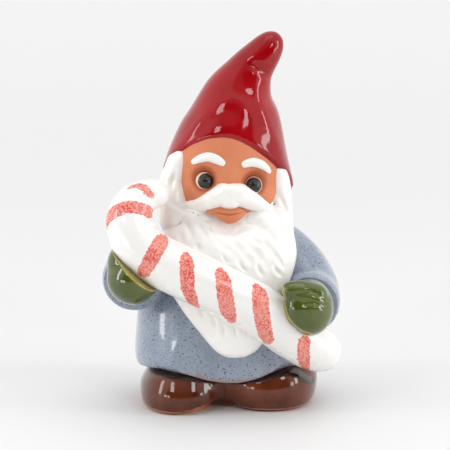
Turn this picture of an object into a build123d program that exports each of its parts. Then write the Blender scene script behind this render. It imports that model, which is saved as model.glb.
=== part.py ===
"""A standing gnome figurine of hollow slip-cast red clay, holding a candy cane, glazed in six colours.

Frame: millimetres, +Z up, origin on the standing plane midway between the boots.
The gnome faces -Y, so its own right hand is on the -X side and its left hand on the +X side.
Every piece that a potter moulds or cuts on its own is a solid of its own, and the pieces are luted face to face.
"""

import math
import os

from build123d import *

# The finished figure
HEIGHT = 150.0                  # standing plane to the top of the hat
SLAB_THICK = 4.0                # clay slab that closes the bottom
SLAB_INSET = 2.5                # slab edge to boot edge
DRAIN_X, DRAIN_Y = 12.5, -1.0   # pour and drain hole through the slab
DRAIN_RADIUS = 6.0
FAR = 400.0                     # larger than the whole figure

# Level ellipses: (height, centre x, centre y, half width, half depth)
RIGHT_BOOT = [
    (0.8, -15.2, -4.0, 14.8, 25.6),
    (3.0, -15.5, -4.2, 16.6, 27.8),
    (7.5, -15.6, -4.0, 17.4, 28.4),
    (12.0, -15.3, -3.2, 16.8, 26.8),
    (16.0, -14.8, -2.4, 13.5, 22.0),
]
LEFT_BOOT = [
    (0.8, 19.0, 0.2, 16.4, 23.2),
    (3.0, 19.0, 0.2, 18.4, 26.4),
    (9.0, 19.0, 0.0, 19.6, 29.2),
    (14.5, 18.5, 0.2, 18.4, 27.6),
    (19.5, 17.8, 0.6, 14.0, 22.5),
]
INSTEP = [
    (0.8, 1.0, -1.0, 27.0, 16.0),
    (8.0, 1.0, -1.0, 29.0, 18.0),
    (15.0, 1.0, -0.6, 29.0, 21.0),
]
COAT = [
    (8.0, 0.2, 0.0, 32.8, 28.4),
    (13.0, 0.2, 0.0, 34.8, 30.6),
    (24.0, 0.2, 0.0, 35.0, 31.4),
    (38.0, 0.4, 0.5, 33.6, 30.2),
    (50.0, 0.8, 1.0, 31.0, 27.0),
    (60.0, 1.4, 1.5, 26.0, 22.0),
    (67.0, 1.8, 1.5, 18.0, 17.0),
]
CAVITY = [
    (3.0, 0.6, -1.0, 21.0, 11.5),
    (11.0, 0.4, -1.0, 24.5, 13.5),
    (18.0, 0.2, 0.0, 28.0, 21.5),
    (27.0, 0.2, 0.0, 29.6, 26.0),
    (38.0, 0.4, 0.5, 28.4, 25.0),
    (49.0, 0.8, 1.0, 25.0, 21.5),
    (57.0, 1.4, 1.5, 18.5, 16.0),
    (64.0, 1.8, 1.5, 12.5, 12.0),
    (72.0, 2.0, 1.0, 12.5, 12.5),
    (84.0, 2.0, 0.5, 16.2, 16.2),
    (97.0, 2.4, 0.0, 15.8, 15.8),
    (108.0, 3.2, 0.0, 13.0, 13.0),
    (118.0, 4.4, 0.0, 10.2, 10.2),
    (127.0, 6.0, 0.0, 6.8, 6.8),
]
HEAD = [
    (65.0, 2.0, 0.6, 13.0, 13.0),
    (70.0, 2.0, 0.2, 17.6, 17.6),
    (78.0, 2.0, 0.0, 21.0, 20.8),
    (88.0, 2.0, 0.0, 22.6, 22.0),
    (98.0, 2.2, 0.0, 21.4, 21.0),
    (106.0, 2.9, 0.0, 18.9, 18.6),
    (113.0, 3.6, 0.0, 15.6, 15.4),
]
BEARD = [
    (22.0, 3.9, -34.4, 3.0, 2.0),
    (27.0, 3.4, -32.6, 9.4, 4.6),
    (38.0, 2.0, -29.0, 17.0, 8.0),
    (50.0, 1.4, -23.5, 24.0, 12.5),
    (60.0, 2.0, -18.0, 27.6, 17.0),
    (70.0, 2.4, -13.0, 26.8, 17.0),
    (78.0, 2.5, -10.0, 25.0, 14.6),
    (83.0, 2.5, -7.6, 23.0, 12.2),
]

# The hat: the cone in level ellipses, then its bent tip as (point on the centre line, radius, direction)
HAT_CONE = [
    (64.0, 2.0, 1.0, 25.2, 25.4),
    (76.0, 2.0, 1.0, 26.6, 26.4),
    (87.0, 1.9, 0.8, 26.8, 26.0),
    (99.0, 2.1, 0.4, 24.2, 24.2),
    (111.0, 3.5, 0.0, 20.4, 20.5),
    (118.0, 4.2, 0.0, 17.6, 17.9),
    (124.0, 5.1, 0.0, 14.8, 15.0),
]
HAT_TIP = [
    (Vector(6.8, -0.2, 129.0), 12.8, Vector(0.34, 0.0, 0.94)),
    (Vector(10.6, -0.8, 134.4), 10.6, Vector(0.58, -0.08, 0.81)),
    (Vector(14.6, -1.5, 139.2), 8.8, Vector(0.64, -0.10, 0.76)),
    (Vector(17.8, -2.0, 142.6), 7.2, Vector(0.68, -0.10, 0.72)),
    (Vector(20.4, -2.4, 145.2), 4.6, Vector(0.70, -0.10, 0.70)),
]
TIP_BALL_X, TIP_BALL_Y, TIP_BALL_RADIUS = 19.2, -2.3, 6.0
RIM_HEIGHT = 88.2               # rim over the ears
RIM_FRONT_SLOPE = 46.0          # degrees the rim climbs from the ears to the forehead
RIM_BACK_SLOPE = 24.0           # degrees the rim falls from the ears to the nape
HEM_HEIGHT = 14.0               # hem of the coat at the middle
HEM_SLOPE = 6.5                 # degrees the hem climbs towards the left boot
HEAD_ROLL = 4.5                 # degrees the head leans to its left

# Ellipsoids: (centre, half sizes)
NAPE_HAIR = (Vector(2.0, 3.0, 80.0), Vector(24.8, 23.6, 19.0))
NOSE = (Vector(3.9, -21.6, 87.4), Vector(5.8, 5.8, 5.0))
LOWER_LIP = (Vector(2.4, -22.4, 78.4), Vector(8.2, 5.2, 3.6))
RIGHT_MITTEN = (Vector(-35.4, -30.6, 54.6), Vector(10.2, 13.4, 10.6))
LEFT_MITTEN = (Vector(33.8, -30.6, 44.6), Vector(10.0, 13.2, 11.8))

# Lengths of round body: (centre, radius) of each ball that the length runs through
RIGHT_SLEEVE = [
    (Vector(-22.0, 3.0, 58.0), 12.0),
    (Vector(-33.0, -12.0, 53.0), 12.8),
    (Vector(-35.2, -19.0, 52.4), 12.2),
]
LEFT_SLEEVE = [
    (Vector(23.0, 3.0, 58.5), 12.0),
    (Vector(34.0, -10.0, 45.0), 12.8),
    (Vector(34.6, -20.0, 44.2), 12.2),
]
CANE_SHAFT = [
    (Vector(38.4, -23.0, 24.6), 8.6),
    (Vector(29.0, -27.4, 31.4), 9.8),
    (Vector(10.4, -32.0, 45.4), 10.2),
    (Vector(-11.8, -33.4, 56.4), 10.4),
    (Vector(-27.6, -32.2, 63.8), 10.0),
]
CANE_HOOK = [
    (Vector(-27.6, -32.2, 63.8), 10.0),
    (Vector(-34.0, -30.4, 70.6), 9.6),
    (Vector(-36.4, -28.0, 79.0), 8.6),
    (Vector(-32.6, -25.0, 85.4), 6.8),
    (Vector(-26.2, -22.4, 87.4), 5.4),
]
RIGHT_HAIR_LOCK = [(Vector(-16.6, -14.0, 97.0), 5.2), (Vector(-18.6, -12.4, 84.0), 6.6)]
LEFT_HAIR_LOCK = [(Vector(20.2, -12.4, 97.0), 5.0), (Vector(22.0, -10.4, 78.0), 6.8)]
RIGHT_WING = [(Vector(0.8, -21.2, 86.4), 4.8), (Vector(-10.0, -18.2, 82.2), 2.8)]
LEFT_WING = [(Vector(6.8, -21.0, 86.0), 4.8), (Vector(17.2, -17.0, 80.8), 2.5)]

# Eyes and brows
RIGHT_EYE = Vector(-6.8, -18.9, 92.1)
LEFT_EYE = Vector(12.3, -18.2, 90.3)
EYE_RADIUS = 3.4
SOCKET_HOLLOW = Vector(5.4, 2.6, 5.2)
BROW_HALF_SIZES = Vector(6.4, 2.6, 2.0)
RIGHT_BROW = (Vector(-4.6, -19.0, 99.4), -2.0)
LEFT_BROW = (Vector(13.0, -17.6, 97.8), -18.0)


def stack(stations):
    """A smooth body through level ellipses."""
    sections = []
    for height, x, y, half_width, half_depth in stations:
        sections.append(Plane((x, y, height)) * Ellipse(half_width, half_depth))
    return loft(sections)


def egg(centre, half_sizes):
    """An ellipsoid."""
    return Pos(*centre) * scale(Sphere(1.0), by=tuple(half_sizes))


def pod(start, start_radius, end, end_radius):
    """Two balls and the cone tangent to both, turned as one piece."""
    length = (end - start).length
    lean = math.asin((start_radius - end_radius) / length)
    reach, rise = math.cos(lean), math.sin(lean)
    low_bisector = (lean - math.pi / 2) / 2
    high_bisector = (lean + math.pi / 2) / 2
    bottom = (0.0, -start_radius)
    low_middle = (start_radius * math.cos(low_bisector), start_radius * math.sin(low_bisector))
    low_tangent = (start_radius * reach, start_radius * rise)
    high_tangent = (end_radius * reach, length + end_radius * rise)
    high_middle = (end_radius * math.cos(high_bisector), length + end_radius * math.sin(high_bisector))
    top = (0.0, length + end_radius)
    outline = (
        ThreePointArc(bottom, low_middle, low_tangent)
        + Line(low_tangent, high_tangent)
        + ThreePointArc(high_tangent, high_middle, top)
        + Line(top, bottom)
    )
    turned = revolve(Plane.XZ * make_face(outline), Axis.Z)
    return Plane(origin=start, z_dir=end - start) * turned


def limb(balls):
    """Pods end to end."""
    body = pod(*balls[0], *balls[1])
    for start, end in zip(balls[1:], balls[2:]):
        body += pod(*start, *end)
    return body


def rod(stations):
    """A smooth rod along the stations, its first end rounded."""
    middle_line = Spline(*[point for point, _ in stations])
    sections = []
    for point, radius in stations:
        along = middle_line % middle_line.param_at_point(point)
        sections.append(Plane(origin=point, z_dir=along) * Circle(radius))
    first_point, first_radius = stations[0]
    return loft(sections) + Pos(*first_point) * Sphere(first_radius)


def under_plane(height, front_slope, roll):
    """Everything under a plane that climbs towards the front and falls towards the left hand."""
    block = Pos(0, 0, -FAR / 2) * Box(FAR, FAR, FAR)
    return Pos(0, 0, height) * Rot(-front_slope, roll, 0) * block


def largest(shape):
    """The biggest solid of a cut, so that a cut leaves no crumbs."""
    return max(shape.solids(), key=lambda solid: solid.volume)


def carve(shape, *cutters):
    """The shape without its cutters, as one solid."""
    for cutter in cutters:
        shape -= cutter
    return largest(shape)


def eye_socket(eye):
    """The dish and the seat that an eyeball needs in the face."""
    dish_centre = Vector(eye.X, eye.Y - 1.0, eye.Z)
    return egg(dish_centre, SOCKET_HOLLOW) + eyeball(eye)


def eyeball(eye):
    return Pos(*eye) * Sphere(EYE_RADIUS)


def brow(centre, tilt):
    """A rolled strip of clay over an eye, tilt in degrees falling towards the left hand when negative."""
    return Pos(*centre) * Rot(0, -tilt, 0) * scale(Sphere(1.0), by=tuple(BROW_HALF_SIZES))


def boot(stations, side):
    """One boot with its half of the instep, side -1 for the right boot and 1 for the left."""
    half = Pos(1.0 + side * FAR / 2, 0, 0) * Box(FAR, FAR, FAR)
    return (stack(stations) + stack(INSTEP)) & half


def foot_slab():
    """The bare clay slab under both boots, with its pour hole."""
    outline = None
    for _, x, y, half_width, half_depth in (RIGHT_BOOT[0], LEFT_BOOT[0], INSTEP[0]):
        sole = Pos(x, y) * Ellipse(half_width - SLAB_INSET, half_depth - SLAB_INSET)
        outline = sole if outline is None else outline + sole
    outline -= Pos(DRAIN_X, DRAIN_Y) * Circle(DRAIN_RADIUS)
    return extrude(outline, SLAB_THICK)


def hat_body():
    """The cone, its bent tip and the ball that ends it, open under the rim."""
    sections = []
    for height, x, y, half_width, half_depth in HAT_CONE:
        sections.append(Plane((x, y, height)) * Ellipse(half_width, half_depth))
    for point, radius, direction in HAT_TIP:
        sections.append(Plane(origin=point, z_dir=direction) * Circle(radius))
    ball = Pos(TIP_BALL_X, TIP_BALL_Y, HEIGHT - TIP_BALL_RADIUS) * Sphere(TIP_BALL_RADIUS)
    body = loft(sections) + ball
    for slope in (RIM_FRONT_SLOPE, RIM_BACK_SLOPE):
        body -= under_plane(RIM_HEIGHT, slope, HEAD_ROLL)
    return body


# Outer forms, each whole
cavity = stack(CAVITY)
slab = foot_slab()
right_boot = boot(RIGHT_BOOT, -1)
left_boot = boot(LEFT_BOOT, 1)
coat = stack(COAT) - under_plane(HEM_HEIGHT, 0.0, -HEM_SLOPE)
head = stack(HEAD)
hat = hat_body()
moustache = egg(*NOSE) + limb(RIGHT_WING) + limb(LEFT_WING)
lip = egg(*LOWER_LIP)
cane = rod(CANE_SHAFT) + limb(CANE_HOOK)
right_mitten = egg(*RIGHT_MITTEN)
left_mitten = egg(*LEFT_MITTEN)
right_lock = limb(RIGHT_HAIR_LOCK)
left_lock = limb(LEFT_HAIR_LOCK)
right_brow = brow(*RIGHT_BROW)
left_brow = brow(*LEFT_BROW)
body = (coat, cavity, right_boot, left_boot)

# Each piece gives way to the pieces that it is luted onto
pieces = {
    "foot_slab": slab,
    "right_boot": carve(right_boot, slab, cavity),
    "left_boot": carve(left_boot, slab, cavity),
    "coat_body": carve(coat, right_boot, left_boot, cavity),
    "head": carve(head, coat, cavity, eye_socket(RIGHT_EYE), eye_socket(LEFT_EYE)),
    "hat": carve(hat, head, cavity),
    "right_eye": eyeball(RIGHT_EYE),
    "left_eye": eyeball(LEFT_EYE),
    "right_eyebrow": carve(right_brow, head, hat),
    "left_eyebrow": carve(left_brow, head, hat),
    "moustache": carve(moustache, head, eyeball(RIGHT_EYE), eyeball(LEFT_EYE)),
    "lower_lip": carve(lip, head, moustache),
    "candy_cane": carve(cane, coat, head, hat),
    "right_mitten": carve(right_mitten, coat, cane),
    "left_mitten": carve(left_mitten, coat, cane),
    "right_sleeve": carve(limb(RIGHT_SLEEVE), *body, head, cane, right_mitten),
    "left_sleeve": carve(limb(LEFT_SLEEVE), *body, head, cane, left_mitten),
    "right_hair_lock": carve(right_lock, hat, head, cane, moustache, right_brow),
    "left_hair_lock": carve(left_lock, hat, head, moustache, left_brow),
}
front_hair = (head, hat, cane, moustache, lip, right_lock, left_lock)
arms = (limb(RIGHT_SLEEVE), limb(LEFT_SLEEVE), right_mitten, left_mitten)
pieces["beard"] = carve(stack(BEARD), *body, *front_hair, *arms)
pieces["nape_hair"] = carve(egg(*NAPE_HAIR), *body, *front_hair, *arms, stack(BEARD))

os.makedirs("parts", exist_ok=True)
for name, piece in pieces.items():
    export_step(piece, f"parts/{name}.step")
    print(f"{name}: {piece.volume / 1000:.1f} cm3")
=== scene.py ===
import math

import bmesh
import bpy
import numpy as np
from mathutils import Euler, Matrix, Vector


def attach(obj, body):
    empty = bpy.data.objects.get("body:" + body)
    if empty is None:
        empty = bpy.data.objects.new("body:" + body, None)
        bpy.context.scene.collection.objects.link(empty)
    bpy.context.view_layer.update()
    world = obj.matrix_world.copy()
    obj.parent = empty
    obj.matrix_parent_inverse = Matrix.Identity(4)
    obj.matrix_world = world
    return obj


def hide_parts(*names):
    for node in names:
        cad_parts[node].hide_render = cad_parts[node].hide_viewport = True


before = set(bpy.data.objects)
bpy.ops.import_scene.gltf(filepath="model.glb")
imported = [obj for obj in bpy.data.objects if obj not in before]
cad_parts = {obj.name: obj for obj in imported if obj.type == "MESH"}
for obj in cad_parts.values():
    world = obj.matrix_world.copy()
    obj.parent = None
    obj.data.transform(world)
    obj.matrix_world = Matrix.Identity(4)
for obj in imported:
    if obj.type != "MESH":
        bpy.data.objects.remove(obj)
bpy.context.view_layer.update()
print("frame loaded")

mm = 0.001
viewRise = math.radians(12.0)   # the front is painted as seen from this far above the floor
tiltOver = 14.0                 # rings turn from level to tilted over this height
clayCollection = bpy.context.scene.collection


# shaping clay

def blendKeys(keys, count):
    # a smooth run through the rows of keys
    rows = np.array(keys, dtype=float)
    padded = np.vstack([2 * rows[0] - rows[1], rows, 2 * rows[-1] - rows[-2]])
    spread = np.linspace(0, len(rows) - 1, count)
    index = np.minimum(spread.astype(int), len(rows) - 2)
    part = (spread - index)[:, None]
    before, start, end, after = (padded[index + step] for step in range(4))
    return 0.5 * (
        2 * start
        + (end - before) * part
        + (2 * before - 5 * start + 4 * end - after) * part ** 2
        + (3 * start - before - 3 * end + after) * part ** 3
    )


def addBall(bm, centre, radii, turn=(0, 0, 0), detail=3):
    place = Matrix.Translation(centre) @ Euler([math.radians(a) for a in turn]).to_matrix().to_4x4()
    place = place @ Matrix.Diagonal((*radii, 1.0))
    bmesh.ops.create_icosphere(bm, subdivisions=detail, radius=1.0, matrix=place)


def addRoll(bm, keys, count=14, flat=1.0):
    # a rolled length of clay through (x, y, z, radius) rows, flat under 1 presses it front to back
    for x, y, z, radius in blendKeys(keys, count):
        addBall(bm, (x, y, z), (radius, radius * flat, radius))


def ringFrame(centre, along, halfWidth, halfDepth):
    along = Vector(along).normalized()
    across = Vector((along.z, 0, -along.x)).normalized()
    deep = along.cross(across)
    turn = Matrix((across, deep, along)).transposed().to_4x4()
    return Matrix.Translation(centre) @ turn @ Matrix.Diagonal((halfWidth, halfDepth, 1.0, 1.0))


def addRings(bm, keys, rings, segments=64, squareness=2.0, tiltFrom=None):
    # a body of rings through (x, y, z, half width, half depth) rows, closed at both ends
    # rings are level up to the height tiltFrom, then turn to face along the body
    stations = blendKeys(keys, rings)
    directions = np.gradient(stations[:, :3], axis=0)
    directions /= np.linalg.norm(directions, axis=1)[:, None]
    share = np.ones(rings)
    if tiltFrom is not None:
        share = np.clip((stations[:, 2] - tiltFrom) / tiltOver, 0.0, 1.0)
    share = (share * share * (3.0 - 2.0 * share))[:, None]
    directions = directions * share + np.array((0.0, 0.0, 1.0)) * (1.0 - share)
    verts = bmesh.ops.create_circle(bm, cap_ends=False, segments=segments, radius=1.0)["verts"]
    edges = list({edge for vert in verts for edge in vert.link_edges})
    power = 2.0 / squareness
    for vert in verts:
        for axis in (0, 1):
            vert.co[axis] = math.copysign(abs(vert.co[axis]) ** power, vert.co[axis])
    startEdges = edges
    previous = Matrix.Identity(4)
    for station, direction in zip(stations, directions):
        place = ringFrame(station[:3], direction, station[3], station[4])
        if edges is not startEdges or previous != Matrix.Identity(4):
            made = bmesh.ops.extrude_edge_only(bm, edges=edges)["geom"]
            verts = [item for item in made if isinstance(item, bmesh.types.BMVert)]
            kept = set(verts)
            sides = [item for item in made if isinstance(item, bmesh.types.BMEdge)]
            edges = [side for side in sides if kept.issuperset(side.verts)]
        bmesh.ops.transform(bm, matrix=place @ previous.inverted(), verts=verts)
        previous = place
    for loop in (startEdges, edges):
        cap = bmesh.ops.contextual_create(bm, geom=loop)["faces"]
        bmesh.ops.poke(bm, faces=cap)
    bmesh.ops.recalc_face_normals(bm, faces=bm.faces)


def newObject(name, mesh):
    piece = bpy.data.objects.new(name, mesh)
    clayCollection.objects.link(piece)
    return piece


def settle(piece):
    # makes the piece's modifiers part of its mesh
    graph = bpy.context.evaluated_depsgraph_get()
    mesh = bpy.data.meshes.new_from_object(piece.evaluated_get(graph))
    old = piece.data
    piece.modifiers.clear()
    piece.data = mesh
    bpy.data.meshes.remove(old)


def startPiece(name, bm, grain=None, rub=6):
    # grain is the size of the clay's facets where the lumps of bm are pressed into one skin
    mesh = bpy.data.meshes.new(name)
    bm.to_mesh(mesh)
    bm.free()
    piece = newObject(name, mesh)
    press(piece, grain, rub)
    return piece


def press(piece, grain, rub):
    if grain:
        skin = piece.modifiers.new("skin", "REMESH")
        skin.mode = "VOXEL"
        skin.voxel_size = grain
        skin.use_smooth_shade = True
    if rub:
        smooth = piece.modifiers.new("rub", "SMOOTH")
        smooth.factor = 0.5
        smooth.iterations = rub
    settle(piece)


def readSkin(piece):
    mesh = piece.data
    count = len(mesh.vertices)
    points = np.empty(count * 3)
    mesh.vertices.foreach_get("co", points)
    normals = np.empty(count * 3, dtype=np.float32)
    mesh.vertex_normals.foreach_get("vector", normals)
    return points.reshape(-1, 3), normals.reshape(-1, 3).astype(float)


def writeSkin(piece, points):
    piece.data.vertices.foreach_set("co", points.reshape(-1))
    piece.data.update()


def frontView(points):
    # where the points stand as seen from the front and a little above
    rise = points[:, 2] * math.cos(viewRise) + points[:, 1] * math.sin(viewRise)
    return np.column_stack([points[:, 0], rise])


def pinch(offset):
    # 1 in the middle of a brush, smoothly down to 0 at its edge
    return np.clip(1.0 - offset, 0.0, 1.0) ** 2 * (1.0 + 2.0 * np.clip(offset, 0.0, 1.0))


def swell(piece, spots):
    # spots are (centre, reach, amount): clay is added or taken along the skin's normal
    points, normals = readSkin(piece)
    for centre, reach, amount in spots:
        offset = np.linalg.norm((points - np.array(centre)) / np.array(reach), axis=1)
        points += normals * (amount * pinch(offset))[:, None]
    writeSkin(piece, points)


def nearPath(flat, path, count=26):
    # distance to a path in the front view, and how far along the path from 0 to 1
    run = blendKeys(path, count)
    gap = np.full(len(flat), 1e9)
    along = np.zeros(len(flat))
    for number, spot in enumerate(run):
        distance = np.hypot(flat[:, 0] - spot[0], flat[:, 1] - spot[1])
        closer = distance < gap
        gap[closer] = distance[closer]
        along[closer] = number / (count - 1)
    return gap, along


def drawStrokes(piece, strokes, ridge=0.4):
    # a wooden tool drawn over the front: strokes are (path, width, depth)
    points, normals = readSkin(piece)
    flat = frontView(points)
    facing = np.clip(-normals[:, 1] * 1.6 + 0.35, 0.0, 1.0)
    for path, width, depth in strokes:
        gap, along = nearPath(flat, path)
        taper = np.sin(math.pi * np.clip(along, 0.02, 0.98)) ** 0.6
        cut = np.exp(-(gap / width) ** 2) - ridge * np.exp(-((gap - 2.0 * width) / width) ** 2)
        points -= normals * (depth * taper * facing * cut)[:, None]
    writeSkin(piece, points)


def clampAbove(piece, spot, normal):
    # presses everything past a plane flat onto it
    points, _ = readSkin(piece)
    normal = np.array(Vector(normal).normalized())
    past = (points - np.array(spot)) @ normal
    points -= np.clip(past, 0.0, None)[:, None] * normal
    writeSkin(piece, points)


def neighbourMean(mesh, values, times):
    edges = np.empty(len(mesh.edges) * 2, dtype=int)
    mesh.edges.foreach_get("vertices", edges)
    first, second = edges.reshape(-1, 2).T
    count = np.bincount(first, minlength=len(values)) + np.bincount(second, minlength=len(values))
    count = np.maximum(count, 1)[:, None]
    for _ in range(times):
        total = np.zeros_like(values)
        np.add.at(total, first, values[second])
        np.add.at(total, second, values[first])
        values = total / count
    return values


def rollReach(keys):
    # how far outside a roll a point stands, negative inside it
    run = blendKeys(keys, 40)

    def reach(points):
        return np.min([np.linalg.norm(points - row[:3], axis=1) - row[3] for row in run], axis=0)

    return reach


def ringReach(keys):
    # the same for a body of level rings
    run = blendKeys(keys, 200)

    def reach(points):
        rows = [np.interp(points[:, 2], run[:, 2], run[:, row]) for row in (0, 1, 3, 4)]
        x, y, halfWidth, halfDepth = rows
        ratio = np.hypot((points[:, 0] - x) / halfWidth, (points[:, 1] - y) / halfDepth)
        return (ratio - 1.0) * halfDepth

    return reach


def ballReach(centre, radii):
    return lambda points: (np.linalg.norm((points - centre) / radii, axis=1) - 1.0) * min(radii)


def splitPiece(source, shares):
    # shares are (name, reach): a face goes to the share it stands deepest in, each share is closed
    mesh = source.data
    middles = np.empty(len(mesh.polygons) * 3)
    mesh.polygons.foreach_get("center", middles)
    middles = middles.reshape(-1, 3)
    owner = np.argmin([reach(middles) for _, reach in shares], axis=0)
    pieces = []
    for number, (name, _) in enumerate(shares):
        bm = bmesh.new()
        bm.from_mesh(mesh)
        bm.faces.ensure_lookup_table()
        others = [bm.faces[index] for index in np.flatnonzero(owner != number)]
        bmesh.ops.delete(bm, geom=others, context="FACES")
        rims = [edge for edge in bm.edges if edge.is_boundary]
        for edge in rims:
            edge.smooth = False
        bmesh.ops.holes_fill(bm, edges=rims, sides=0)
        bmesh.ops.triangulate(bm, faces=[face for face in bm.faces if len(face.verts) > 4])
        bmesh.ops.recalc_face_normals(bm, faces=bm.faces)
        part = bpy.data.meshes.new(name)
        bm.to_mesh(part)
        bm.free()
        pieces.append(newObject(name, part))
    bpy.data.objects.remove(source)
    return pieces


def storeValues(piece, name, values):
    layer = piece.data.attributes.new(name, "FLOAT", "POINT")
    layer.data.foreach_set("value", values.astype(np.float32))


def storeBend(piece, reach=8, gain=1.0, moreCrest=0.0, moreHollow=0.0):
    # "crest" is high on sharp outer bends where glaze runs thin, "hollow" in hollows where glaze pools;
    # on bare clay "hollow" carries painted shade
    points, normals = readSkin(piece)
    mean = neighbourMean(piece.data, points, reach)
    bend = np.einsum("ij,ij->i", points - mean, normals) * gain
    storeValues(piece, "crest", np.clip(bend, 0.0, 1.0) + moreCrest)
    storeValues(piece, "hollow", np.clip(-bend, 0.0, 1.0) + moreHollow)


def finishPiece(piece, material, nodes, levels=1):
    piece.data.transform(Matrix.Scale(mm, 4))
    piece.data.materials.clear()
    piece.data.materials.append(material)
    for face in piece.data.polygons:
        face.use_smooth = True
    if levels:
        fine = piece.modifiers.new("fine", "SUBSURF")
        fine.levels = levels
        fine.render_levels = levels
    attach(piece, "root")
    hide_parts(*nodes)
    print("made", piece.name, len(piece.data.polygons))


# glazes

def nodeKit(name):
    material = bpy.data.materials.new(name)
    material.use_nodes = True
    tree = material.node_tree
    tree.nodes.clear()
    output = tree.nodes.new("ShaderNodeOutputMaterial")
    shader = tree.nodes.new("ShaderNodeBsdfPrincipled")
    tree.links.new(shader.outputs["BSDF"], output.inputs["Surface"])
    return material, tree, shader


def colour(red, green, blue):
    # a colour as a paint chart gives it, 0 to 255
    parts = [value / 255 for value in (red, green, blue)]
    linear = [part / 12.92 if part <= 0.04045 else ((part + 0.055) / 1.055) ** 2.4 for part in parts]
    return (*linear, 1.0)


def addNode(tree, kind, settings=None, inputs=None):
    node = tree.nodes.new(kind)
    for key, value in (settings or {}).items():
        setattr(node, key, value)
    for key, value in (inputs or {}).items():
        if isinstance(value, bpy.types.NodeSocket):
            tree.links.new(value, node.inputs[key])
        else:
            node.inputs[key].default_value = value
    return node


def objectPoint(tree):
    return addNode(tree, "ShaderNodeTexCoord").outputs["Object"]


def noiseOf(tree, point, scale, detail=3.0, roughness=0.5):
    return addNode(tree, "ShaderNodeTexNoise", None, {
        "Vector": point, "Scale": scale, "Detail": detail, "Roughness": roughness,
    }).outputs["Fac"]


def ramp(tree, factor, low, high):
    # 0 below low, 1 above high
    node = addNode(tree, "ShaderNodeMapRange", {"interpolation_type": "SMOOTHSTEP"}, {
        "Value": factor, "From Min": low, "From Max": high, "To Min": 0.0, "To Max": 1.0,
    })
    return node.outputs["Result"]


def mixColour(tree, factor, first, second):
    node = addNode(tree, "ShaderNodeMix", {"data_type": "RGBA"})
    for socket, value in ((node.inputs[0], factor), (node.inputs[6], first), (node.inputs[7], second)):
        if isinstance(value, bpy.types.NodeSocket):
            tree.links.new(value, socket)
        else:
            socket.default_value = value
    return node.outputs[2]


def maths(tree, operation, first, second):
    return addNode(tree, "ShaderNodeMath", {"operation": operation}, {0: first, 1: second}).outputs[0]


def attribute(tree, name):
    node = addNode(tree, "ShaderNodeAttribute", {"attribute_name": name, "attribute_type": "GEOMETRY"})
    return node.outputs["Fac"]


def wander(tree, point, scale, amount, detail=3.0):
    # noise about 0 that makes an edge ragged
    noise = noiseOf(tree, point, scale, detail)
    return maths(tree, "MULTIPLY", maths(tree, "SUBTRACT", noise, 0.5), amount)


def addBump(tree, shader, height, strength, distance):
    bump = addNode(tree, "ShaderNodeBump", None, {
        "Height": height, "Strength": strength, "Distance": distance,
    })
    tree.links.new(bump.outputs["Normal"], shader.inputs["Normal"])


def glossOf(tree, shader, point, recipe):
    patch = noiseOf(tree, point, recipe.get("patchScale", 90.0), 4.0)
    spread = addNode(tree, "ShaderNodeMapRange", None, {
        "Value": patch, "From Min": 0.3, "From Max": 0.7,
        "To Min": recipe["roughness"][0], "To Max": recipe["roughness"][1],
    })
    tree.links.new(spread.outputs["Result"], shader.inputs["Roughness"])
    shader.inputs["Coat Weight"].default_value = recipe.get("coat", 0.0)
    shader.inputs["Coat Roughness"].default_value = 0.04
    shader.inputs["IOR"].default_value = recipe.get("ior", 1.5)


def plainGlaze(recipe):
    # a clear bright glaze: its own tone wanders, thins to clay on crests and darkens in hollows
    material, tree, shader = nodeKit(recipe["name"])
    point = objectPoint(tree)
    drift = ramp(tree, noiseOf(tree, point, recipe["driftScale"], 3.0), 0.32, 0.68)
    tone = mixColour(tree, drift, recipe["deep"], recipe["main"])
    poolAndPaintedShade = ramp(tree, attribute(tree, "hollow"), recipe["poolFrom"], recipe["poolTo"])
    tone = mixColour(tree, poolAndPaintedShade, tone, recipe["poolAndPaintedShade"])
    crest = maths(tree, "ADD", attribute(tree, "crest"), wander(tree, point, 900.0, recipe["ragged"]))
    thin = ramp(tree, crest, recipe["thinFrom"], recipe["thinTo"])
    tone = mixColour(tree, thin, tone, recipe["thin"])
    tree.links.new(tone, shader.inputs["Base Color"])
    glossOf(tree, shader, point, recipe)
    ripple = noiseOf(tree, point, recipe.get("rippleScale", 240.0), 2.0)
    addBump(tree, shader, ripple, recipe["ripple"], 0.0004)
    return material


whiteGlaze = plainGlaze({
    "name": "whiteHairGlaze", "main": colour(248, 246, 243), "deep": colour(244, 241, 236),
    "driftScale": 60.0,
    "poolAndPaintedShade": colour(226, 222, 212), "poolFrom": 0.10, "poolTo": 0.8, "thin": colour(238, 222, 208),
    "thinFrom": 0.55, "thinTo": 1.3, "ragged": 0.1, "roughness": (0.22, 0.32), "coat": 0.35,
    "ripple": 0.15,
})
redGlaze = plainGlaze({
    "name": "hatRedGlaze", "main": colour(160, 8, 18), "deep": colour(142, 3, 12), "driftScale": 45.0,
    "poolAndPaintedShade": colour(110, 2, 8), "poolFrom": 0.08, "poolTo": 0.7, "thin": colour(190, 60, 40),
    "thinFrom": 0.35, "thinTo": 1.0, "ragged": 0.5, "roughness": (0.06, 0.10), "coat": 0.15, "ior": 1.38,
    "ripple": 0.04,
    "rippleScale": 130.0,
})
greenGlaze = plainGlaze({
    "name": "mittenGreenGlaze", "main": colour(82, 92, 30), "deep": colour(66, 80, 14),
    "driftScale": 90.0,
    "poolAndPaintedShade": colour(48, 66, 10), "poolFrom": 0.04, "poolTo": 0.6, "thin": colour(158, 144, 72),
    "thinFrom": 0.22, "thinTo": 0.75, "ragged": 0.5, "roughness": (0.05, 0.10), "coat": 0.4,
    "ripple": 0.08,
})
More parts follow.
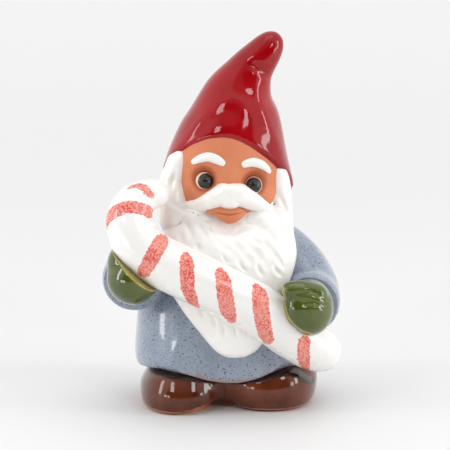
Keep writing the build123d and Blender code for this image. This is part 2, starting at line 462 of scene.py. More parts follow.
brownGlaze = plainGlaze({
    "name": "bootBrownGlaze", "main": colour(112, 54, 28), "deep": colour(78, 32, 14),
    "driftScale": 70.0,
    "poolAndPaintedShade": colour(38, 16, 12), "poolFrom": 0.10, "poolTo": 0.8, "thin": colour(196, 112, 70),
    "thinFrom": 0.35, "thinTo": 1.0, "ragged": 0.4, "roughness": (0.05, 0.09), "coat": 0.25, "ior": 1.4,
    "ripple": 0.03,
    "rippleScale": 130.0,
})


def beadGlaze(recipe):
    # "aside" is the turn in degrees away from where the eye looks: black bead, pale ring, clay
    material, tree, shader = nodeKit(recipe["name"])
    point = objectPoint(tree)
    grain = ramp(tree, noiseOf(tree, point, 1300.0, 4.0), 0.35, 0.75)
    bead = mixColour(tree, grain, recipe["deep"], recipe["main"])
    aside = maths(tree, "ADD", attribute(tree, "aside"), wander(tree, point, 500.0, 8.0))
    tone = mixColour(tree, ramp(tree, aside, *recipe["beadEdge"]), bead, recipe["ring"])
    tree.links.new(tone, shader.inputs["Base Color"])
    glossOf(tree, shader, point, recipe)
    return material


eyeGlaze = beadGlaze({
    "name": "eyeBlackGlaze", "main": colour(58, 56, 46), "deep": colour(6, 5, 4),
    "ring": colour(242, 214, 192), "beadEdge": (60.0, 64.0), "roughness": (0.2, 0.4), "coat": 0.1,
})


def speckledGlaze(recipe):
    material, tree, shader = nodeKit(recipe["name"])
    point = objectPoint(tree)
    drift = ramp(tree, noiseOf(tree, point, 50.0, 4.0), 0.3, 0.7)
    tone = mixColour(tree, drift, recipe["deep"], recipe["main"])
    cloud = ramp(tree, noiseOf(tree, point, 700.0, 2.0), 0.35, 0.75)
    tone = mixColour(tree, maths(tree, "MULTIPLY", cloud, 0.35), tone, recipe["cloud"])
    for scale, low, high in ((1150.0, 0.655, 0.70), (1900.0, 0.66, 0.71)):
        speck = ramp(tree, noiseOf(tree, point, scale, 1.0), low, high)
        tone = mixColour(tree, maths(tree, "MULTIPLY", speck, 0.95), tone, recipe["speck"])
    crest = maths(tree, "ADD", attribute(tree, "crest"), wander(tree, point, 420.0, 2.4, 4.0))
    thin = ramp(tree, crest, 0.55, 0.95)
    tone = mixColour(tree, maths(tree, "MULTIPLY", thin, 0.75), tone, recipe["thin"])
    tree.links.new(tone, shader.inputs["Base Color"])
    glossOf(tree, shader, point, recipe)
    addBump(tree, shader, noiseOf(tree, point, 1100.0, 3.0), 0.12, 0.0003)
    return material


coatGlaze = speckledGlaze({
    "name": "coatBlueGlaze", "main": colour(144, 156, 173), "deep": colour(126, 138, 157),
    "cloud": colour(168, 176, 190), "speck": colour(44, 46, 66), "thin": colour(150, 118, 104),
    "roughness": (0.14, 0.24), "coat": 0.75,
})


def bareClay(recipe):
    material, tree, shader = nodeKit(recipe["name"])
    point = objectPoint(tree)
    drift = ramp(tree, noiseOf(tree, point, 70.0, 5.0), 0.3, 0.7)
    tone = mixColour(tree, drift, recipe["deep"], recipe["main"])
    grit = ramp(tree, noiseOf(tree, point, 3000.0, 2.0), 0.62, 0.75)
    tone = mixColour(tree, maths(tree, "MULTIPLY", grit, 0.25), tone, recipe["grit"])
    # painted shade: bare clay has no glaze to pool, so its darker tone where "hollow" is high stands in
    # for shade in hollows and round the eye sockets
    poolAndPaintedShade = ramp(tree, attribute(tree, "hollow"), 0.05, 0.6)
    tone = mixColour(tree, maths(tree, "MULTIPLY", poolAndPaintedShade, 0.8), tone, recipe["poolAndPaintedShade"])
    tree.links.new(tone, shader.inputs["Base Color"])
    glossOf(tree, shader, point, recipe)
    addBump(tree, shader, noiseOf(tree, point, 1600.0, 6.0, 0.6), 0.35, 0.0003)
    return material


# the face clay's darker colour for hollows is painted shade
faceClay = bareClay({
    "name": "bareRedClay", "main": colour(217, 133, 92), "deep": colour(207, 121, 82),
    "grit": colour(180, 100, 66), "poolAndPaintedShade": colour(176, 90, 52), "roughness": (0.55, 0.7),
})


def stripedGlaze(recipe):
    # "stripe" is the distance in millimetres inside a painted stripe, negative outside it
    material, tree, shader = nodeKit(recipe["name"])
    point = objectPoint(tree)
    inside = attribute(tree, "stripe")
    edge = ramp(tree, maths(tree, "ADD", inside, wander(tree, point, 900.0, 1.6, 4.0)), -0.1, 0.25)
    sponge = ramp(tree, noiseOf(tree, point, 1250.0, 3.0, 0.7), 0.40, 0.60)
    light = ramp(tree, noiseOf(tree, point, 120.0, 2.0), 0.35, 0.65)
    paint = mixColour(tree, sponge, recipe["stripePale"], recipe["stripe"])
    paint = mixColour(tree, maths(tree, "MULTIPLY", light, 0.35), paint, recipe["stripePale"])
    tone = mixColour(tree, edge, recipe["main"], paint)
    tree.links.new(tone, shader.inputs["Base Color"])
    glossOf(tree, shader, point, recipe)
    addBump(tree, shader, noiseOf(tree, point, 260.0, 2.0), 0.12, 0.0004)
    return material


caneGlaze = stripedGlaze({
    "name": "caneStripedGlaze", "main": colour(243, 241, 238), "stripe": colour(216, 58, 56),
    "stripePale": colour(238, 164, 148), "roughness": (0.2, 0.3), "coat": 0.4,
})
print("glazes mixed")


# coat and sleeves

coatShape = {
    "rings": [  # x, y, z, half width, half depth
        (0.2, 0.0, 10.0, 29.0, 25.0), (0.2, 0.0, 12.0, 33.6, 30.0), (0.2, 0.0, 15.0, 34.9, 31.6),
        (0.2, 0.0, 20.0, 35.3, 32.0), (0.2, 0.0, 28.0, 34.8, 31.2), (0.3, 0.2, 38.0, 34.0, 29.0),
        (0.6, 0.6, 47.0, 32.0, 26.6), (1.0, 1.0, 55.0, 28.6, 24.0), (1.4, 1.4, 62.0, 24.0, 20.5),
        (1.8, 1.4, 68.0, 18.0, 16.5), (2.0, 1.2, 73.0, 12.0, 12.0),
    ],
    "hem": [  # x across the front, height of the hem there
        (-36.0, 13.0), (-31.0, 15.4), (-24.0, 16.9), (-14.0, 16.2), (-6.0, 14.6), (1.0, 13.7),
        (7.0, 13.6), (14.0, 14.6), (21.0, 16.6), (26.0, 17.4), (30.5, 15.8), (36.0, 11.0),
    ],
    "rightArm": [  # x, y, z, radius
        (-13.0, 5.0, 54.0, 13.0), (-22.0, 1.0, 54.0, 13.2), (-30.5, -6.0, 55.0, 13.0),
        (-34.0, -13.0, 53.4, 12.8), (-34.6, -19.0, 53.0, 12.9),
    ],
    "leftArm": [
        (16.0, 5.0, 60.0, 13.0), (23.0, 2.0, 58.0, 13.0), (29.5, -2.0, 52.4, 13.0),
        (33.6, -8.0, 46.4, 12.9), (34.4, -14.0, 44.0, 12.7), (34.2, -19.0, 43.6, 12.8),
    ],
    "hemFades": (12.0, 34.0),   # the hem's rise and fall is gone at the upper height
    "rightCuff": ((-34.6, -24.6, 53.0), (-0.1, -1.0, 0.05)),
    "leftCuff": ((34.2, -24.8, 43.6), (0.05, -1.0, 0.0)),
}


def hemHeight(across):
    hemX, hemZ = np.array(coatShape["hem"]).T
    return np.interp(across, hemX, hemZ)


def makeCoat():
    bm = bmesh.new()
    addRings(bm, coatShape["rings"], 48, 96, 2.15, 200.0)
    low, high = coatShape["hemFades"]
    for vert in bm.verts:
        share = max(0.0, min(1.0, (high - vert.co.z) / (high - low)))
        vert.co.z += (float(hemHeight(vert.co.x)) - low) * share ** 1.5
    addRoll(bm, coatShape["rightArm"], 34)
    addRoll(bm, coatShape["leftArm"], 40)
    piece = startPiece("body", bm, 0.55, 14)
    for spot, normal in (coatShape["rightCuff"], coatShape["leftCuff"]):
        clampAbove(piece, spot, normal)
    press(piece, None, 3)
    points, _ = readSkin(piece)
    storeBend(piece, 8, 1.2, moreCrest=pinch((points[:, 2] - hemHeight(points[:, 0]) + 1.0) / 2.6))
    coat, rightSleeve, leftSleeve = splitPiece(piece, [
        ("coat", ringReach(coatShape["rings"])),
        ("rightSleeve", rollReach(coatShape["rightArm"])),
        ("leftSleeve", rollReach(coatShape["leftArm"])),
    ])
    finishPiece(coat, coatGlaze, ["coat_body"], 0)
    finishPiece(rightSleeve, coatGlaze, ["right_sleeve"], 0)
    finishPiece(leftSleeve, coatGlaze, ["left_sleeve"], 0)


makeCoat()


# boots

bootShape = {
    "right": [  # x, y, z, half width, half depth
        (-15.0, -4.0, 0.9, 14.0, 25.0), (-15.4, -4.0, 1.9, 16.2, 27.4), (-15.6, -4.0, 4.6, 17.4, 28.6),
        (-15.6, -3.6, 8.0, 17.5, 28.0), (-15.6, -3.4, 11.0, 16.6, 26.2),
        (-15.8, -3.0, 13.2, 15.4, 24.2), (-16.0, -2.8, 15.6, 13.0, 20.8),
        (-14.6, -2.0, 19.0, 11.0, 16.0),
    ],
    "left": [
        (19.0, 0.4, 0.9, 15.4, 22.0), (19.0, 0.4, 1.9, 17.6, 24.6), (19.0, 0.2, 4.6, 19.2, 27.8),
        (19.0, 0.2, 9.0, 19.6, 29.2), (18.8, 0.2, 12.2, 19.0, 28.0), (18.4, 0.4, 14.8, 17.6, 25.6),
        (18.0, 0.6, 17.4, 15.0, 21.6), (17.6, 0.6, 20.6, 10.0, 16.0),
    ],
    "instep": [
        (1.0, -0.6, 0.9, 25.0, 14.6), (1.0, -0.6, 2.6, 26.0, 17.4), (1.0, -0.6, 6.0, 28.0, 21.4),
        (1.0, -0.4, 10.0, 28.0, 24.6), (1.0, 0.0, 17.0, 26.0, 23.0),
    ],
    "tuck": (2.0, 2.6, 0.16),   # from this far under the hem, over this height, drawn in by this share
    "hemPool": (1.5, 1.7),      # dark glaze gathers this far under the hem, over this height
    "soleHeight": 0.85,         # pressed flat at this height
    "parting": 1.0,             # the boots meet at this place across the front
    "rubOver": 4.0,             # rubbed smooth fully from this far above the bare sole
    "rubTimes": 40,
    "bareSole": 2.2,    # wiped clean up to here
    "pourHole": (12.5, -1.0, 6.0, 10.0),    # x, y, radius, how deep it shows
}


def makeBoot(side, name, node):
    bm = bmesh.new()
    addRings(bm, bootShape[side], 24, 80, 2.3)
    addRings(bm, bootShape["instep"], 12, 64, 2.6)
    piece = startPiece(name, bm, 0.6, 16)
    points, _ = readSkin(piece)
    share = np.clip((points[:, 2] - bootShape["bareSole"]) / bootShape["rubOver"], 0.0, 1.0)[:, None]
    rubbed = neighbourMean(piece.data, points, bootShape["rubTimes"])
    writeSkin(piece, points * (1.0 - share) + rubbed * share)
    sign = -1.0 if side == "right" else 1.0
    clampAbove(piece, (bootShape["parting"], 0.0, 0.0), (-sign, 0.0, 0.0))
    clampAbove(piece, (0.0, 0.0, bootShape["soleHeight"]), (0.0, 0.0, -1.0))
    press(piece, None, 2)
    points, _ = readSkin(piece)
    start, reach, amount = bootShape["tuck"]
    share = np.clip((points[:, 2] - hemHeight(points[:, 0]) + start) / reach, 0.0, 1.0)
    points[:, 1] *= 1.0 - amount * share * share * (3.0 - 2.0 * share)
    x, y, radius, depth = bootShape["pourHole"]
    hole = np.clip(radius - np.hypot(points[:, 0] - x, points[:, 1] - y) + 0.5, 0.0, 1.0)
    hole *= points[:, 2] < bootShape["bareSole"]
    points[:, 2] += depth * hole
    writeSkin(piece, points)
    drop, reach = bootShape["hemPool"]
    under = pinch(np.abs(hemHeight(points[:, 0]) - drop - points[:, 2]) / reach)
    wiped = np.maximum(pinch(points[:, 2] / bootShape["bareSole"]), hole)
    storeBend(piece, 6, 1.2, moreCrest=2.0 * wiped, moreHollow=under)
    finishPiece(piece, brownGlaze, [node], 0)


makeBoot("right", "rightBoot", "right_boot")
makeBoot("left", "leftBoot", "left_boot")


# head

headShape = {
    "rings": [
        (2.0, 0.6, 65.0, 8.0, 8.0), (2.0, 0.4, 68.0, 14.5, 14.5), (2.0, 0.2, 74.0, 19.4, 19.2),
        (2.0, 0.0, 82.0, 22.0, 21.4), (2.0, 0.0, 89.0, 22.8, 21.9), (2.1, 0.0, 97.0, 22.6, 21.6),
        (2.6, 0.0, 104.0, 21.4, 21.0), (3.2, 0.0, 110.0, 19.4, 19.6), (3.6, 0.0, 115.0, 15.6, 15.8),
        (3.8, 0.0, 118.6, 8.0, 8.0),
    ],
    "swells": [  # centre, reach, amount
        ((-7.2, -20.0, 93.4), (6.8, 9.0, 7.0), -3.0), ((12.8, -20.0, 91.4), (6.8, 9.0, 7.0), -3.0),
        ((-7.0, -19.0, 92.8), (5.4, 8.0, 5.6), -2.0), ((12.6, -18.0, 91.0), (5.4, 8.0, 5.6), -2.0),
        ((-10.5, -18.0, 86.5), (7.0, 8.0, 6.0), 1.0), ((16.8, -16.0, 84.6), (7.0, 8.0, 6.0), 1.0),
        ((2.8, -21.0, 94.5), (4.5, 8.0, 6.5), 0.9),
    ],
    "socketShade": {"lift": 1.2, "stretch": (1.0, 2.0, 1.0), "reach": 7.2, "amount": 1.6},
}


def makeHead():
    bm = bmesh.new()
    addRings(bm, headShape["rings"], 64, 120, 2.0)
    piece = startPiece("clayHead", bm, 0.6, 6)
    swell(piece, headShape["swells"])
    press(piece, None, 2)
    points, _ = readSkin(piece)
    # painted shade round the eye sockets, added to "hollow" so the face clay is painted darker there
    shade = 0.0
    socket = headShape["socketShade"]
    for _, _, centre, _ in faceParts["eyes"]:
        above = np.array(centre) + (0.0, 0.0, socket["lift"])
        gap = np.linalg.norm((points - above) / socket["stretch"], axis=1)
        shade = shade + socket["amount"] * pinch(gap / socket["reach"])
    storeBend(piece, 6, 1.0, moreHollow=shade)
    finishPiece(piece, faceClay, ["head"], 0)


# eyes, brows, moustache, lip

faceParts = {
    "eyes": [  # name, node, centre, where the black bead looks
        ("rightEye", "right_eye", (-6.8, -18.0, 92.1), (0.20, -0.97, 0.12)),
        ("leftEye", "left_eye", (12.3, -17.1, 90.2), (0.10, -0.97, 0.16)),
    ],
    "eyeRadius": 3.5,
    "brows": [
        ("rightBrow", "right_eyebrow", [
            (-11.0, -18.2, 99.8, 1.2), (-8.4, -19.2, 101.2, 1.7), (-5.4, -20.0, 102.0, 1.9),
            (-2.2, -20.6, 101.2, 1.9), (0.2, -21.0, 99.8, 1.4),
        ]),
        ("leftBrow", "left_eyebrow", [
            (9.0, -20.4, 99.2, 1.5), (12.0, -19.6, 99.8, 1.9), (15.2, -18.6, 98.8, 1.8),
            (17.4, -17.2, 97.0, 1.4), (18.6, -16.2, 95.4, 0.9),
        ]),
    ],
    "moustache": [
        [(1.0, -21.0, 87.4, 4.8), (-3.4, -21.2, 85.3, 3.9), (-7.4, -19.2, 83.1, 3.3),
         (-11.0, -16.4, 82.0, 2.7), (-14.0, -13.8, 81.4, 1.8)],
        [(6.6, -20.8, 87.0, 4.8), (11.4, -19.2, 84.4, 3.9), (15.6, -16.6, 81.6, 2.9),
         (18.4, -14.6, 80.0, 2.0), (20.6, -12.6, 79.0, 1.2)],
    ],
    "nose": [((3.9, -20.2, 88.6), (5.8, 5.0, 3.6)), ((3.0, -21.4, 85.0), (5.0, 3.9, 3.9)),
             ((1.2, -19.8, 90.2), (2.6, 3.2, 2.0)), ((6.8, -19.8, 89.6), (2.6, 3.2, 2.0))],
    "lips": [
        [(-5.8, -21.8, 80.8, 0.6), (-3.0, -22.7, 80.4, 1.0), (-0.4, -23.2, 79.5, 1.9),
         (3.0, -23.5, 78.8, 2.8), (5.6, -23.2, 79.2, 2.2), (8.6, -21.8, 79.9, 0.8)],
        [(-4.8, -21.4, 81.0, 1.0), (-2.4, -22.0, 81.4, 1.4), (1.8, -22.4, 81.0, 1.5),
         (5.0, -22.4, 81.1, 1.5), (7.2, -21.8, 80.8, 1.2), (8.4, -20.8, 80.4, 0.9)],
    ],
    "smile": [([(-3.8, 74.2), (-1.0, 73.6), (2.4, 72.9), (5.4, 73.4), (8.0, 73.9)], 0.5, 0.8)],
}


def makeFaceParts():
    for name, node, centre, look in faceParts["eyes"]:
        bm = bmesh.new()
        radius = faceParts["eyeRadius"]
        addBall(bm, centre, (radius, radius, radius), (0, 0, 0), 5)
        piece = startPiece(name, bm, None, 0)
        points, _ = readSkin(piece)
        toLook = np.clip((points - centre) @ look / radius, -1.0, 1.0)
        storeValues(piece, "aside", np.degrees(np.arccos(toLook)))
        finishPiece(piece, eyeGlaze, [node], 0)
    for name, node, keys in faceParts["brows"]:
        bm = bmesh.new()
        addRoll(bm, keys, 24, 0.8)
        piece = startPiece(name, bm, 0.25, 6)
        storeBend(piece, 8, 1.0)
        finishPiece(piece, whiteGlaze, [node])
    bm = bmesh.new()
    for keys in faceParts["moustache"]:
        addRoll(bm, keys, 20, 0.9)
    for centre, radii in faceParts["nose"]:
        addBall(bm, centre, radii)
    piece = startPiece("whiteMoustache", bm, 0.35, 10)
    storeBend(piece, 8, 1.0)
    finishPiece(piece, whiteGlaze, ["moustache"])
    bm = bmesh.new()
    for keys in faceParts["lips"]:
        addRoll(bm, keys, 30, 0.9)
    piece = startPiece("lowerLip", bm, 0.3, 6)
    drawStrokes(piece, faceParts["smile"])
    storeBend(piece, 6, 2.5, moreHollow=0.12)
    finishPiece(piece, faceClay, ["lower_lip"])


makeHead()
makeFaceParts()


# hat

hatShape = {
    "rings": [  # x, y, z, half width, half depth
        (2.0, 1.0, 64.0, 25.6, 25.6), (2.0, 1.0, 76.0, 26.6, 26.4), (1.9, 0.8, 87.0, 26.7, 26.0),
        (2.0, 0.4, 99.0, 24.0, 24.2), (3.4, 0.0, 111.0, 20.4, 20.6), (4.8, 0.0, 118.0, 17.4, 18.0),
        (6.6, -0.2, 124.0, 14.4, 15.0), (9.0, -0.4, 129.0, 11.6, 12.2), (11.8, -0.8, 134.2, 9.3, 10.0),
        (14.9, -1.2, 138.2, 8.0, 8.8), (17.2, -1.4, 141.2, 7.3, 7.8), (19.2, -1.6, 144.3, 6.4, 6.6),
        (20.4, -1.8, 146.9, 5.2, 5.2), (21.1, -1.9, 148.8, 3.2, 3.2), (21.4, -2.0, 149.7, 1.2, 1.2),
    ],
    "rim": [  # turn round the head in degrees from the front, height of the rim there
        (0.0, 110.8), (11.0, 110.3), (27.0, 108.3), (46.0, 104.4), (59.0, 100.9), (76.0, 96.0),
        (90.0, 90.6), (110.0, 85.0), (135.0, 79.6), (160.0, 77.0), (180.0, 76.4),
    ],
    "roll": 0.125,     # the rim falls this much for each step towards the left hand
    "bendFrom": 116.0,
    "easeFrom": 114.0,  # above this height the bends are rubbed smooth
    "easeOver": 8.0,
    "easeTimes": 60,
    "folds": [  # (path as seen from the front), width, depth, raised where the depth is negative
        ([(10.0, 132.8), (13.6, 131.0), (17.0, 128.8), (20.4, 126.4)], 1.8, 1.2),
        ([(12.6, 128.0), (13.6, 121.0), (16.0, 113.0), (21.4, 101.0), (25.0, 93.0)], 2.2, -0.6),
        ([(-3.5, 113.5), (-8.0, 110.0), (-12.0, 105.0), (-16.5, 99.5)], 1.8, -0.5),
        ([(-7.0, 110.5), (-4.0, 115.2), (1.6, 117.4), (7.0, 116.4), (11.6, 111.6)], 3.0, -0.6),
    ],
}


def makeHat():
    bm = bmesh.new()
    addRings(bm, hatShape["rings"], 110, 128, 2.0, hatShape["bendFrom"])
    piece = startPiece("redHat", bm, None, 0)
    points, _ = readSkin(piece)
    rows = blendKeys(hatShape["rings"], 400)
    turn = np.degrees(np.abs(np.arctan2(points[:, 0] - 2.0, -points[:, 1])))
    rimTurn, rimHeight = np.array(hatShape["rim"]).T
    rim = np.interp(turn, rimTurn, rimHeight) - hatShape["roll"] * (points[:, 0] - 2.0)
    top = hatShape["bendFrom"]
    low = rows[0, 2]
    below = points[:, 2] < top
    share = (points[:, 2] - low) / (top - low)
    height = np.where(below, rim + share * (top - rim), points[:, 2])
    levels = (points[:, 2].copy(), height)
    for axis, middleRow, halfRow in ((0, 0, 3), (1, 1, 4)):
        middle, newMiddle = (np.interp(level, rows[:, 2], rows[:, middleRow]) for level in levels)
        half, newHalf = (np.interp(level, rows[:, 2], rows[:, halfRow]) for level in levels)
        moved = newMiddle + (points[:, axis] - middle) * newHalf / half
        points[:, axis] = np.where(below, moved, points[:, axis])
    points[:, 2] = height
    writeSkin(piece, points)
    press(piece, 0.55, 16)
    points, _ = readSkin(piece)
    share = np.clip((points[:, 2] - hatShape["easeFrom"]) / hatShape["easeOver"], 0.0, 1.0)[:, None]
    eased = neighbourMean(piece.data, points, hatShape["easeTimes"])
    writeSkin(piece, points * (1.0 - share) + eased * share)
    drawStrokes(piece, hatShape["folds"], 0.0)
    press(piece, None, 4)
    storeBend(piece, 6, 1.0)
    finishPiece(piece, redGlaze, ["hat"], 0)


makeHat()


# hair and beard

hairShape = {
    "beard": [
        (5.2, -30.6, 24.0, 4.0, 2.6), (5.4, -30.4, 26.0, 7.6, 4.6), (5.4, -29.8, 29.0, 10.6, 6.0),
        (5.0, -28.6, 33.0, 13.6, 7.2), (3.6, -26.8, 39.0, 17.2, 8.6), (2.2, -24.6, 46.0, 20.8, 10.4),
        (2.0, -21.6, 53.0, 25.0, 13.2), (2.4, -17.0, 62.0, 27.2, 16.8), (2.4, -12.6, 70.0, 26.2, 16.2),
        (2.4, -9.6, 74.6, 25.4, 14.2), (2.6, -8.2, 78.0, 24.8, 12.8), (2.6, -6.6, 81.0, 22.6, 11.6),
        (2.6, -4.0, 83.0, 16.0, 8.0),
    ],
    "dents": [  # centre, reach, amount
        ((3.0, -26.4, 74.8), (9.0, 7.0, 3.6), -1.0),
        ((-10.5, -18.5, 78.2), (8.0, 8.0, 5.4), 2.6), ((15.6, -17.5, 76.6), (8.0, 8.0, 5.4), 2.6),
    ],
    "rightLock": [
        (-18.4, -1.6, 95.0, 4.4), (-17.2, -5.6, 98.0, 4.2), (-15.4, -9.6, 100.4, 3.4),
        (-17.3, -9.0, 95.8, 5.0), (-18.6, -8.0, 90.0, 6.2), (-19.2, -9.4, 84.0, 7.0),
        (-18.0, -11.4, 76.0, 7.4),
    ],
    "leftLock": [
        (20.4, -7.6, 95.6, 3.0), (21.8, -7.2, 91.8, 4.5), (22.4, -6.4, 86.0, 5.2),
        (22.4, -8.0, 78.0, 5.8), (22.2, -9.4, 70.0, 6.4),
    ],
    "nape": ((2.0, 3.4, 80.0), (25.2, 23.6, 18.0)),
    "strokes": [  # (path as seen from the front), width, depth
        ([(0.3, 57.6), (1.6, 55.4), (3.3, 54.0)], 0.8, 0.7),
        ([(6.6, 55.0), (8.2, 52.2), (10.4, 50.7)], 0.8, 0.7),
        ([(13.3, 54.6), (14.6, 51.4), (16.5, 49.0)], 0.8, 0.7),
        ([(20.8, 52.6), (21.8, 50.6), (23.4, 49.2)], 0.8, 0.6),
        ([(-9.9, 61.8), (-9.2, 60.4), (-8.2, 59.5)], 0.9, 0.7),
        ([(-4.9, 68.3), (-4.2, 67.2), (-3.4, 66.4)], 0.7, 0.5),
        ([(4.6, 65.8), (8.1, 67.2), (11.4, 67.0)], 0.8, 0.5),
        ([(-17.2, 76.6), (-15.6, 75.6), (-13.8, 75.0)], 0.8, 0.6),
        ([(12.0, 61.0), (15.4, 59.5), (17.6, 55.6)], 1.0, -0.7),
        ([(16.6, 64.0), (20.4, 61.0), (22.6, 56.4)], 1.0, -0.6),
        ([(9.6, 58.4), (12.2, 56.6), (13.6, 52.8)], 0.9, -0.6),
        ([(19.6, 58.4), (22.4, 55.4), (24.0, 51.6)], 0.9, 0.5),
        ([(14.2, 68.6), (18.2, 66.4), (21.6, 62.0)], 1.0, 0.5),
        ([(20.4, 71.6), (23.6, 68.0), (25.4, 63.0)], 1.0, 0.5),
        ([(-2.0, 62.8), (0.6, 60.4), (4.0, 58.6)], 1.0, 0.4),
        ([(4.6, 61.8), (7.4, 59.6), (10.0, 56.0)], 0.9, 0.5),
        ([(-14.6, 70.6), (-12.6, 67.4), (-11.4, 63.6)], 1.0, 0.5),
        ([(-8.4, 70.4), (-7.4, 67.0), (-5.6, 63.8)], 0.9, 0.4),
        ([(-17.0, 66.4), (-15.6, 62.6), (-13.2, 60.0)], 1.0, 0.5),
        ([(10.4, 64.4), (13.4, 62.8), (15.6, 60.6)], 0.8, 0.4),
        ([(0.2, 30.2), (0.6, 27.6), (0.9, 24.8)], 0.7, 0.5),
        ([(4.4, 29.6), (5.0, 27.4), (5.7, 24.6)], 0.7, 0.5),
        ([(-3.6, 33.4), (-3.0, 31.0), (-2.2, 28.4)], 0.7, 0.4),
        ([(8.6, 28.4), (9.2, 26.6), (9.6, 24.4)], 0.7, 0.4),
        ([(-8.4, 37.4), (-8.0, 35.6), (-7.0, 33.0)], 0.8, 0.5),
        ([(-14.2, 44.8), (-13.2, 42.4), (-11.4, 39.4)], 0.9, 0.6),
        ([(-17.9, 90.4), (-19.8, 85.5), (-20.2, 82.4)], 0.9, 0.7),
        ([(22.7, 80.4), (24.4, 77.0), (26.1, 72.6)], 0.9, 0.7),
        ([(-20.6, 80.4), (-19.6, 77.6), (-17.6, 75.6)], 0.9, 0.5),
        ([(20.2, 77.4), (21.0, 74.0), (23.0, 70.6)], 0.8, 0.4),
        ([(-9.6, 72.4), (-6.4, 70.6), (-3.6, 70.2)], 0.7, 0.4),
        ([(8.4, 70.4), (11.6, 69.6), (15.0, 70.8)], 0.7, 0.4),
    ],
}


def makeHair():
    bm = bmesh.new()
    addRings(bm, hairShape["beard"], 60, 96, 2.0, 200.0)
    addRoll(bm, hairShape["rightLock"], 36)
    addRoll(bm, hairShape["leftLock"], 24)
    addBall(bm, *hairShape["nape"], detail=5)
    piece = startPiece("hair", bm, 0.5, 8)
    swell(piece, hairShape["dents"])
    drawStrokes(piece, hairShape["strokes"])
    press(piece, None, 2)
    storeBend(piece, 6, 2.0)
    shares = splitPiece(piece, [
        ("whiteBeard", ringReach(hairShape["beard"])),
        ("rightHairLock", rollReach(hairShape["rightLock"])),
        ("leftHairLock", rollReach(hairShape["leftLock"])),
        ("napeHair", ballReach(*hairShape["nape"])),
    ])
    for share, node in zip(shares, ("beard", "right_hair_lock", "left_hair_lock", "nape_hair")):
        finishPiece(share, whiteGlaze, [node], 0)


makeHair()


# cane

caneShape = {
    "shaft": [  # x, y, z, radius
        (41.0, -21.6, 23.0, 2.0), (40.6, -21.8, 23.2, 5.6), (39.4, -22.6, 24.0, 8.0),
        (36.0, -24.4, 26.4, 9.4), (29.0, -27.6, 31.4, 10.0), (10.4, -32.4, 45.8, 10.3),
        (-11.8, -33.4, 57.0, 10.3), (-24.0, -32.6, 62.6, 10.2),
    ],
    "hook": [
        (-20.0, -33.0, 60.8, 10.2), (-27.6, -32.0, 65.0, 10.2), (-33.4, -30.4, 70.6, 10.0),
        (-36.2, -28.4, 78.4, 9.2), (-34.2, -26.4, 84.4, 7.8), (-30.0, -24.6, 87.2, 6.4),
        (-26.0, -23.0, 88.0, 5.6),
    ],
    "stripes": [  # each through (across, rise, half width) as seen from the front
        [(-37.6, 82.9, 0.15), (-34.4, 84.0, 0.84), (-31.7, 84.0, 1.34), (-29.4, 82.4, 1.6),
         (-27.4, 80.3, 1.2)],
        [(-45.1, 65.7, 0.2), (-44.7, 69.5, 1.0), (-42.6, 73.2, 2.2), (-39.3, 75.1, 2.5),
         (-35.9, 75.9, 2.45), (-32.4, 75.5, 2.3), (-29.4, 74.5, 2.3), (-28.0, 73.2, 1.7)],
        [(-23.6, 62.6, 2.9), (-24.8, 60.4, 3.1), (-27.5, 55.4, 3.0), (-30.1, 51.2, 2.8)],
        [(-14.1, 56.8, 1.8), (-13.7, 54.2, 2.8), (-13.5, 49.6, 2.9), (-13.1, 44.3, 2.7),
         (-11.6, 40.1, 2.2), (-9.9, 37.0, 1.2)],
        [(-0.8, 50.6, 1.9), (0.5, 47.0, 3.0), (1.2, 41.8, 3.2), (2.1, 36.6, 3.1), (3.8, 32.4, 2.0)],
        [(13.4, 44.6, 1.7), (14.8, 41.1, 3.1), (15.2, 36.5, 3.25), (15.9, 31.9, 3.25), (16.9, 27.3, 3.0),
         (18.0, 24.6, 2.4)],
        [(32.2, 23.4, 2.5), (31.9, 20.4, 2.5), (32.2, 15.9, 2.45), (33.6, 11.9, 1.0)],
    ],
}


def storeStripes(piece, stripes):
    points, _ = readSkin(piece)
    flat = frontView(points)
    inside = np.full(len(flat), -5.0)
    for stripe in stripes:
        for across, rise, half in blendKeys(stripe, 40):
            inside = np.maximum(inside, half - np.hypot(flat[:, 0] - across, flat[:, 1] - rise))
    storeValues(piece, "stripe", inside)


def makeCane():
    bm = bmesh.new()
    addRoll(bm, caneShape["shaft"], 90)
    addRoll(bm, caneShape["hook"], 50)
    piece = startPiece("candyCane", bm, 0.6, 10)
    storeStripes(piece, caneShape["stripes"])
    finishPiece(piece, caneGlaze, ["candy_cane"], 0)


makeCane()


# mittens

mittenShape = {
    "right": {
        "balls": [((-34.8, -31.0, 56.0), (10.4, 12.4, 10.6)), ((-38.6, -29.5, 61.0), (6.4, 9.0, 8.4))],
        "palm": ((-34.2, -34.0, 59.4), (0.65, -0.12, 0.74)),
        "strokes": [([(-40.5, 58.0), (-36.5, 55.0), (-31.0, 50.6)], 1.4, 0.5)],
        "paleEdge": 0.75,
    },
    "left": {
        "balls": [((34.4, -31.6, 44.2), (9.4, 12.0, 11.2)), ((29.6, -34.0, 45.0), (5.8, 8.6, 8.4))],
        "thumb": [(36.0, -36.0, 49.6, 5.6), (31.0, -37.4, 51.8, 4.8), (26.6, -38.0, 52.6, 3.6)],
        "strokes": [
            ([(27.0, 42.0), (31.0, 42.4), (36.0, 42.6), (40.8, 40.0)], 0.9, 0.45),
            ([(30.0, 38.0), (34.0, 38.6), (38.6, 37.8), (41.6, 35.0)], 0.9, 0.3),
        ],
        "paleEdge": 1.1,
        "paleLine": [(23.4, 45.8), (24.2, 40.0), (25.4, 33.6), (29.6, 28.6), (35.4, 26.0)],
    },
}


